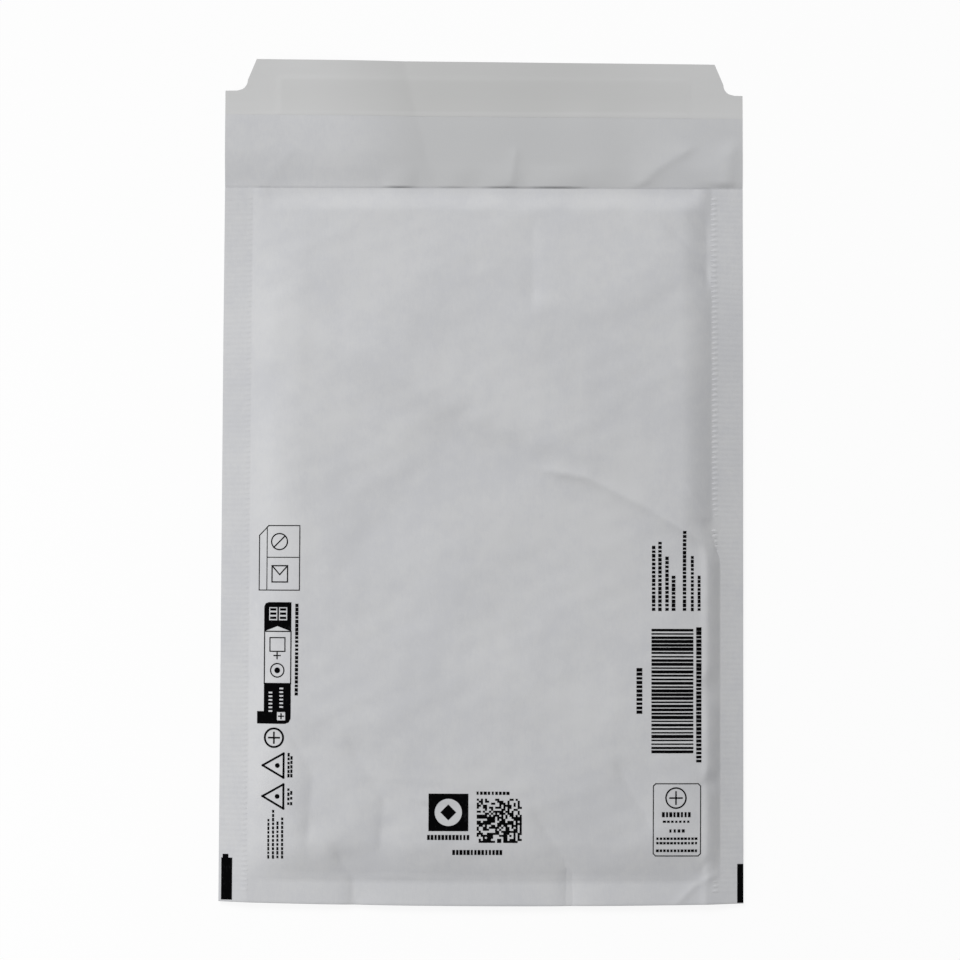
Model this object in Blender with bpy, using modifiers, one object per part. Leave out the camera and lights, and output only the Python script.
"""Padded envelope: a white paper mailer with a bubble film lining.

The mailer lies on its back with the flap open. X runs across it, +Y runs from
the fold at the foot to the flap, and +Z is up. The origin is on the table,
under the middle of the sheet. All sizes are in metres.
"""

import math

import bmesh
import bpy

# Outer sizes of the paper
WIDTH = 0.200           # across both side seams
BODY_LENGTH = 0.275     # from the fold at the foot to the mouth
FLAP_LENGTH = 0.050     # from the mouth to the flap's free edge
PAPER = 0.0003          # thickness of the paper wall
FOOT_BOW = 0.0013       # how far the foot's corners are drawn in

# Seams and the pad between them
SEAM_LEFT = 0.0107      # width of the sealed strip on the left
SEAM_RIGHT = 0.0120     # width of the sealed strip on the right
FOOT_MARGIN = 0.0120    # flat paper at the fold, below the pad
SEAM_THICKNESS = 0.00048  # both walls pressed together
SEAM_LIFT = 0.0024      # height of the seams above the table
LIFT_FADE = 0.070       # length over which the seams come down to the flap
FLANK = 0.0100          # width of the pad's rounded edge
CROWN_REACH = 0.080     # distance over which the pad goes on rising
CROWN_SHARE = 0.30      # part of the pad's rise that the crown makes
PAD_CORNER = 0.0090     # radius of the pad's corners at the foot

# Crimps: the ribs that the sealing bars press across both side seams
CRIMP_PITCH = 0.0020
CRIMP_HEIGHT = 0.00022  # from a rib's foot to its crest
CRIMP_FLOOR = 0.00006   # the ribs' feet stand this much above the seam
CRIMP_FOOT_GAP = 0.0040   # plain seam below the lowest rib
CRIMP_MOUTH_GAP = 0.0030  # plain seam above the highest rib
CRIMP_EDGE_GAP = 0.0004   # plain paper beside the ribs, at both ends

# Folds that handling has left in the front panel. Each one is a ridge along
# a line of (x, y) points, with its height and half its width.
FOLDS = [
    ([(-0.062, 0.062), (0.000, 0.037), (0.046, 0.018)], 0.00070, 0.013),
    ([(-0.012, 0.015), (-0.032, -0.010), (-0.054, -0.031)], 0.00060, 0.011),
    ([(0.041, 0.004), (0.060, -0.008), (0.076, -0.018)], 0.00110, 0.006),
    ([(-0.075, -0.100), (-0.068, -0.114), (-0.070, -0.136)], 0.00070, 0.005),
    ([(-0.053, -0.102), (-0.041, -0.120), (-0.043, -0.137)], 0.00080, 0.005),
    ([(0.030, -0.118), (0.040, -0.138)], 0.00070, 0.005),
    ([(0.060, -0.104), (0.070, -0.132)], 0.00060, 0.005),
]

# Bubble film lining
FILM = 0.0025           # one layer of bubble film
POCKET_GAP = 0.0012     # space between the two layers, where goods go in
LINING_INSET = 0.0050   # from the pad's edge to the film's edge
FILM_WELD = 0.0050      # width over which the two layers part from each other
WELD_OVERLAP = 0.0003   # how deep the layers run into each other at the weld
MOUTH_MARGIN = 0.0045   # the film stops this far inside the mouth
MOUTH_FALL = 0.0400     # the pad slopes down over this length to the mouth
MOUTH_SHARE = 0.20      # part of the pad's rise that is left at the mouth
FOOT_FALL = 0.0450      # the pad slopes down over this length to the foot
FOOT_SHARE = 0.40       # part of the pad's rise that is left at the foot
CLEARANCE = 0.0003      # space between pieces that touch

# Flap
FLAP_SKEW = 0.0015      # the free edge is cut askew: shorter by this at the right
NOTCH_LEFT = 0.0120     # how far the left notch reaches in at the free edge
NOTCH_RIGHT = 0.0108    # the same on the right
NOTCH_LENGTH = 0.0124   # how far both notches reach down
NOTCH_SLANT = 0.0034    # how much narrower a notch is at its foot
NOTCH_RADIUS = 0.0042   # inner corner of a notch
ADHESIVE_LENGTH = 0.157
ADHESIVE_WIDTH = 0.0125
ADHESIVE_THICKNESS = 0.00015
ADHESIVE_INSET = 0.0077   # from the flap's free edge to the glue
STRIP_WIDTH = 0.0217      # release strip, from the free edge down
STRIP_THICKNESS = 0.00015
STRIP_RAMP = 0.0020       # where the strip climbs onto the glue

# Fineness of the meshes: how many cells each stretch is divided into
CELLS_ROUND = 4
CELLS_FRONT_ACROSS = 24
CELLS_FRONT_ALONG = 30
CELLS_PLAIN = 6
CELLS_CORNER = 8
CUTTER_MARGIN = 0.002     # how far a cutter stands clear of what it cuts

# Lines that follow from the sizes above
LEFT = -WIDTH / 2
RIGHT = WIDTH / 2
FOOT = -(BODY_LENGTH + FLAP_LENGTH) / 2
MOUTH = FOOT + BODY_LENGTH
FLAP_END = MOUTH + FLAP_LENGTH
PAD_LEFT = LEFT + SEAM_LEFT
PAD_RIGHT = RIGHT - SEAM_RIGHT
PAD_FOOT = FOOT + FOOT_MARGIN
FILM_STACK = 2 * FILM + POCKET_GAP
PAD_RISE = FILM_STACK + 2 * CLEARANCE + 2 * PAPER - SEAM_THICKNESS


def clear_scene():
    """Remove whatever the file holds, so that the model starts alone."""
    for obj in list(bpy.data.objects):
        bpy.data.objects.remove(obj, do_unlink=True)


def new_collection(name):
    """Make a collection under the scene."""
    collection = bpy.data.collections.new(name)
    bpy.context.scene.collection.children.link(collection)
    return collection


def principled(name, colour, roughness):
    """Make a plain material with the part's colour and roughness."""
    material = bpy.data.materials.new(name)
    material.use_nodes = True
    shader = material.node_tree.nodes["Principled BSDF"]
    shader.inputs["Base Color"].default_value = (*colour, 1.0)
    shader.inputs["Roughness"].default_value = roughness
    shader.inputs["Metallic"].default_value = 0.0
    return material


def smoothstep(t):
    """Ease from 0 to 1."""
    t = min(max(t, 0.0), 1.0)
    return t * t * (3.0 - 2.0 * t)


def quarter_wave(t):
    """Rise like the first quarter of a sine, then stay at 1."""
    return math.sin(math.pi / 2 * min(max(t, 0.0), 1.0))


def pad_depth(x, y):
    """Distance inside the pad's outline, which is open at the mouth."""
    side = min(x - PAD_LEFT, PAD_RIGHT - x)
    foot = y - PAD_FOOT
    if side < PAD_CORNER and foot < PAD_CORNER:
        corner = math.hypot(PAD_CORNER - side, PAD_CORNER - foot)
        return PAD_CORNER - corner
    return min(side, foot)


def flank_rise(x, y):
    """Rounded edge of the pad: 0 at the seams, 1 past the flank."""
    return quarter_wave(pad_depth(x, y) / FLANK)


def end_rise(y):
    """Share of the pad's rise at this distance from the mouth and the foot."""
    mouth = quarter_wave((MOUTH - y) / MOUTH_FALL)
    foot = quarter_wave((y - PAD_FOOT) / FOOT_FALL)
    at_mouth = MOUTH_SHARE + (1.0 - MOUTH_SHARE) * mouth
    return at_mouth * (FOOT_SHARE + (1.0 - FOOT_SHARE) * foot)


def seam_base(y):
    """Height of the seams' underside: lifted, and down on the table at the mouth."""
    return SEAM_LIFT * smoothstep((MOUTH - y) / LIFT_FADE)


def back_outside(x, y):
    """Underside of the back panel and the flap."""
    return seam_base(y) * (1.0 - flank_rise(x, y))


def distance_to_line(x, y, points):
    """Distance from (x, y) to a line through the points."""
    nearest = math.inf
    for (ax, ay), (bx, by) in zip(points, points[1:]):
        along = ((x - ax) * (bx - ax) + (y - ay) * (by - ay)) / ((bx - ax) ** 2 + (by - ay) ** 2)
        along = min(max(along, 0.0), 1.0)
        off_x, off_y = x - ax - along * (bx - ax), y - ay - along * (by - ay)
        nearest = min(nearest, math.hypot(off_x, off_y))
    return nearest


def fold_height(x, y):
    """How far the folds lift the front panel. They fade out on the pad's flank."""
    lift = 0.0
    for points, height, half_width in FOLDS:
        across = distance_to_line(x, y, points) / half_width
        lift += height * math.exp(-across * across)
    return lift * smoothstep(pad_depth(x, y) / FLANK)


def front_panel(x, y):
    """Upper side of the front panel, with its folds."""
    return front_outside(x, y) + fold_height(x, y) * end_rise(y)


def front_outside(x, y):
    """Upper side of the front panel as it would be without folds."""
    crown = quarter_wave(pad_depth(x, y) / CROWN_REACH)
    rise = (1.0 - CROWN_SHARE) * flank_rise(x, y) + CROWN_SHARE * crown
    base = seam_base(y)
    return base + SEAM_THICKNESS + (PAD_RISE - base) * rise * end_rise(y)


def lining_bottom(x, y):
    """Lower side of the lining, clear of the back panel."""
    return back_outside(x, y) + PAPER + CLEARANCE


def lining_top(x, y):
    """Upper side of the lining, clear of the front panel."""
    return front_outside(x, y) - PAPER - CLEARANCE


def pocket_gap(x, y):
    """Space between the two films. It is negative where they are welded."""
    share = POCKET_GAP / FILM_STACK
    parted = smoothstep((pad_depth(x, y) - LINING_INSET) / FILM_WELD)
    height = lining_top(x, y) - lining_bottom(x, y)
    return share * height * parted - WELD_OVERLAP * (1.0 - parted)


def pocket_floor(x, y):
    """Upper side of the lower film."""
    return (lining_bottom(x, y) + lining_top(x, y) - pocket_gap(x, y)) / 2


def pocket_roof(x, y):
    """Lower side of the upper film."""
    return (lining_bottom(x, y) + lining_top(x, y) + pocket_gap(x, y)) / 2


def strip_underside(x, y):
    """Lower side of the release strip, which climbs over the glue."""
    glue_middle = FLAP_END - ADHESIVE_INSET - ADHESIVE_WIDTH / 2
    past_end = abs(x) - ADHESIVE_LENGTH / 2
    past_side = abs(y - glue_middle) - ADHESIVE_WIDTH / 2
    over_glue = 1.0 - smoothstep(max(past_end, past_side) / STRIP_RAMP)
    return PAPER + CLEARANCE + (ADHESIVE_THICKNESS + CLEARANCE) * over_glue


def crimp_underside(x, y):
    """Lower side of a row of ribs, sunk into the seam."""
    return seam_base(y) + SEAM_THICKNESS / 2


def crimp_top(x, y):
    """Upper side of a row of ribs: up and down once in every pitch."""
    phase = (y - FOOT - CRIMP_FOOT_GAP) / CRIMP_PITCH
    crest = 1.0 - abs(2.0 * (phase - math.floor(phase)) - 1.0)
    return seam_base(y) + SEAM_THICKNESS + CRIMP_FLOOR + CRIMP_HEIGHT * crest


def stations(*spans):
    """Grid lines along one axis, from spans of (start, end, cells) in a row."""
    lines = [spans[0][0]]
    for start, end, cells in spans:
        lines += [start + (end - start) * step / cells for step in range(1, cells + 1)]
    return lines


def settled(x, y):
    """Where a line across the sheet lies: bowed at the foot, askew on the flap."""
    reach = FOOT_MARGIN + FLANK
    fade = 1.0 - smoothstep((y - FOOT) / reach)
    bow = FOOT_BOW * (2.0 * x / WIDTH) ** 2 * fade
    along_flap = max(y - MOUTH, 0.0) / FLAP_LENGTH
    past_corner = max(x - LEFT - NOTCH_LEFT, 0.0) / WIDTH
    return y + bow - FLAP_SKEW * past_corner * along_flap


def grid_mesh(columns, rows):
    """Flat grid whose lines lie at the given places."""
    bm = bmesh.new()
    across, along = len(columns) - 1, len(rows) - 1
    bmesh.ops.create_grid(bm, x_segments=across, y_segments=along, size=0.5)
    for vert in bm.verts:
        column = round((vert.co.x + 0.5) * across)
        row = round((vert.co.y + 0.5) * along)
        vert.co = (columns[column], rows[row], 0.0)
    return bm


def add_object(name, bm, collection, material=None):
    """Turn a bmesh into an object in a collection, its faces pointing out."""
    closed = all(edge.is_manifold for edge in bm.edges)
    if closed:
        bmesh.ops.recalc_face_normals(bm, faces=bm.faces)
    mesh = bpy.data.meshes.new(name)
    bm.to_mesh(mesh)
    bm.free()
    obj = bpy.data.objects.new(name, mesh)
    collection.objects.link(obj)
    if material:
        mesh.materials.append(material)
    return obj


def thin_sheet(name, columns, rows, height, thickness, side, collection, material=None):
    """Sheet of even thickness on a surface. side is -1 below it, 1 above it."""
    bm = grid_mesh(columns, rows)
    for vert in bm.verts:
        x, y = vert.co.x, vert.co.y
        vert.co = (x, settled(x, y), height(x, y))
    obj = add_object(name, bm, collection, material)
    wall = obj.modifiers.new("wall", "SOLIDIFY")
    wall.thickness = thickness
    wall.offset = side
    wall.use_even_offset = True
    return obj


def slab(name, columns, rows, bottom, top, collection, material=None):
    """Closed body between two height functions over one grid."""
    bm = grid_mesh(columns, rows)
    lower = list(bm.verts)
    raised = bmesh.ops.extrude_face_region(bm, geom=list(bm.faces))
    upper = [item for item in raised["geom"] if isinstance(item, bmesh.types.BMVert)]
    for verts, height in ((lower, bottom), (upper, top)):
        for vert in verts:
            x, y = vert.co.x, vert.co.y
            vert.co = (x, settled(x, y), height(x, y))
    return add_object(name, bm, collection, material)


def as_helper(obj):
    """Mark an object that only shapes another one."""
    obj.hide_render = True
    obj.display_type = "WIRE"
    return obj


def boolean(obj, helper, operation):
    """Join or cut an object with a helper."""
    modifier = obj.modifiers.new(helper.name, "BOOLEAN")
    modifier.operation = operation
    modifier.object = helper
    modifier.solver = "EXACT"


def columns_across(cells):
    """Grid lines across the whole width, closer on the pad's flanks."""
    return stations(
        (LEFT, PAD_LEFT, 1),
        (PAD_LEFT, PAD_LEFT + FLANK, CELLS_ROUND),
        (PAD_LEFT + FLANK, PAD_RIGHT - FLANK, cells),
        (PAD_RIGHT - FLANK, PAD_RIGHT, CELLS_ROUND),
        (PAD_RIGHT, RIGHT, 1),
    )


def rows_along(cells):
    """Grid lines from the fold at the foot to the mouth."""
    return stations(
        (FOOT, PAD_FOOT, 1),
        (PAD_FOOT, PAD_FOOT + FLANK, CELLS_ROUND),
        (PAD_FOOT + FLANK, MOUTH - MOUTH_FALL, cells),
        (MOUTH - MOUTH_FALL, MOUTH, CELLS_PLAIN),
    )


def notch_cutter(name, edge, inward, reach, collection):
    """Prism that cuts one corner notch out of the flap."""
    centre_across = reach - NOTCH_SLANT - NOTCH_RADIUS
    centre_down = NOTCH_LENGTH - NOTCH_RADIUS
    lean = NOTCH_SLANT / centre_down
    outline = [(-CUTTER_MARGIN, -CUTTER_MARGIN), (reach + lean * CUTTER_MARGIN, -CUTTER_MARGIN)]
    for step in range(CELLS_CORNER + 1):
        turn = math.pi / 2 * step / CELLS_CORNER
        across = centre_across + NOTCH_RADIUS * math.cos(turn)
        down = centre_down + NOTCH_RADIUS * math.sin(turn)
        outline.append((across, down))
    outline.append((-CUTTER_MARGIN, NOTCH_LENGTH))

    bm = bmesh.new()
    verts = []
    for across, down in outline:
        x = edge + inward * across
        verts.append(bm.verts.new((x, settled(x, FLAP_END - down), -CUTTER_MARGIN)))
    face = bm.faces.new(verts)
    raised = bmesh.ops.extrude_face_region(bm, geom=[face])
    tops = [item for item in raised["geom"] if isinstance(item, bmesh.types.BMVert)]
    bmesh.ops.translate(bm, verts=tops, vec=(0.0, 0.0, 2 * CUTTER_MARGIN))
    return as_helper(add_object(name, bm, collection))


def crimp_row(name, start, end, helpers):
    """Row of ribs across one side seam, from start to end."""
    foot = FOOT + CRIMP_FOOT_GAP
    ribs = math.floor((MOUTH - CRIMP_MOUTH_GAP - foot) / CRIMP_PITCH)
    columns = stations((start + CRIMP_EDGE_GAP, end - CRIMP_EDGE_GAP, 1))
    rows = stations((foot, foot + ribs * CRIMP_PITCH, 2 * ribs))
    return as_helper(slab(name, columns, rows, crimp_underside, crimp_top, helpers))


def build_paper(parts, helpers, notches, material):
    """Front panel, back panel and flap: one web, sealed along both sides."""
    front = as_helper(
        thin_sheet(
            "front_panel",
            columns_across(CELLS_FRONT_ACROSS),
            rows_along(CELLS_FRONT_ALONG),
            front_panel, PAPER, -1, helpers,
        )
    )
    back_rows = rows_along(CELLS_PLAIN) + stations((MOUTH, FLAP_END, CELLS_PLAIN))[1:]
    mailer = thin_sheet(
        "paper_mailer", columns_across(CELLS_PLAIN), back_rows,
        back_outside, PAPER, 1, parts, material,
    )
    boolean(mailer, front, "UNION")
    boolean(mailer, crimp_row("crimps_left", LEFT, PAD_LEFT, helpers), "UNION")
    boolean(mailer, crimp_row("crimps_right", PAD_RIGHT, RIGHT, helpers), "UNION")
    for notch in notches:
        boolean(mailer, notch, "DIFFERENCE")
    return mailer


def build_lining(parts, helpers, material):
    """Bubble film folded at the foot: two layers, welded at the sides."""
    left = PAD_LEFT + LINING_INSET
    right = PAD_RIGHT - LINING_INSET
    foot = PAD_FOOT + LINING_INSET
    end = MOUTH - MOUTH_MARGIN
    columns = stations(
        (left, left + FILM_WELD, CELLS_ROUND),
        (left + FILM_WELD, right - FILM_WELD, CELLS_PLAIN),
        (right - FILM_WELD, right, CELLS_ROUND),
    )
    rows = stations(
        (foot, foot + FILM_WELD, CELLS_ROUND),
        (foot + FILM_WELD, MOUTH - MOUTH_FALL, CELLS_PLAIN),
        (MOUTH - MOUTH_FALL, end, CELLS_PLAIN),
    )
    upper = as_helper(slab("upper_film", columns, rows, pocket_roof, lining_top, helpers))
    lining = slab("bubble_lining", columns, rows, lining_bottom, pocket_floor, parts, material)
    boolean(lining, upper, "UNION")
    return lining


def build_adhesive(parts, material):
    """Band of glue on the inner face of the flap."""
    bm = bmesh.new()
    bmesh.ops.create_cube(bm, size=1.0)
    bmesh.ops.scale(bm, verts=bm.verts, vec=(ADHESIVE_LENGTH, ADHESIVE_WIDTH, ADHESIVE_THICKNESS))
    middle_y = FLAP_END - ADHESIVE_INSET - ADHESIVE_WIDTH / 2
    middle_z = PAPER + CLEARANCE + ADHESIVE_THICKNESS / 2
    bmesh.ops.translate(bm, verts=bm.verts, vec=(0.0, middle_y, middle_z))
    for vert in bm.verts:
        vert.co.y = settled(vert.co.x, vert.co.y)
    return add_object("adhesive_band", bm, parts, material)


def build_release_strip(parts, notches, material):
    """Peel-off strip over the glue, cut with the flap's own notches."""
    glue_end = ADHESIVE_LENGTH / 2
    glue_top = FLAP_END - ADHESIVE_INSET
    glue_foot = glue_top - ADHESIVE_WIDTH
    strip_foot = FLAP_END - STRIP_WIDTH
    columns = stations(
        (LEFT, -glue_end - STRIP_RAMP, 1),
        (-glue_end - STRIP_RAMP, -glue_end, CELLS_ROUND),
        (-glue_end, glue_end, CELLS_PLAIN),
        (glue_end, glue_end + STRIP_RAMP, CELLS_ROUND),
        (glue_end + STRIP_RAMP, RIGHT, 1),
    )
    rows = stations(
        (strip_foot, glue_foot, 1),
        (glue_foot, glue_top, 1),
        (glue_top, glue_top + STRIP_RAMP, CELLS_ROUND),
        (glue_top + STRIP_RAMP, FLAP_END, 1),
    )
    strip = thin_sheet(
        "release_strip", columns, rows, strip_underside, STRIP_THICKNESS, 1, parts, material
    )
    for notch in notches:
        boolean(strip, notch, "DIFFERENCE")
    return strip


def main():
    clear_scene()
    parts = new_collection("padded_envelope")
    helpers = new_collection("helpers")
    white_paper = principled("white_kraft_paper", (0.59, 0.59, 0.60), 0.78)
    film = principled("bubble_film", (0.86, 0.88, 0.90), 0.25)
    glue = principled("self_seal_glue", (0.72, 0.71, 0.68), 0.45)
    release = principled("release_paper", (0.57, 0.57, 0.56), 0.55)

    notches = [
        notch_cutter("notch_left", LEFT, 1, NOTCH_LEFT, helpers),
        notch_cutter("notch_right", RIGHT, -1, NOTCH_RIGHT, helpers),
    ]
    build_paper(parts, helpers, notches, white_paper)
    build_lining(parts, helpers, film)
    build_adhesive(parts, glue)
    build_release_strip(parts, notches, release)


main()
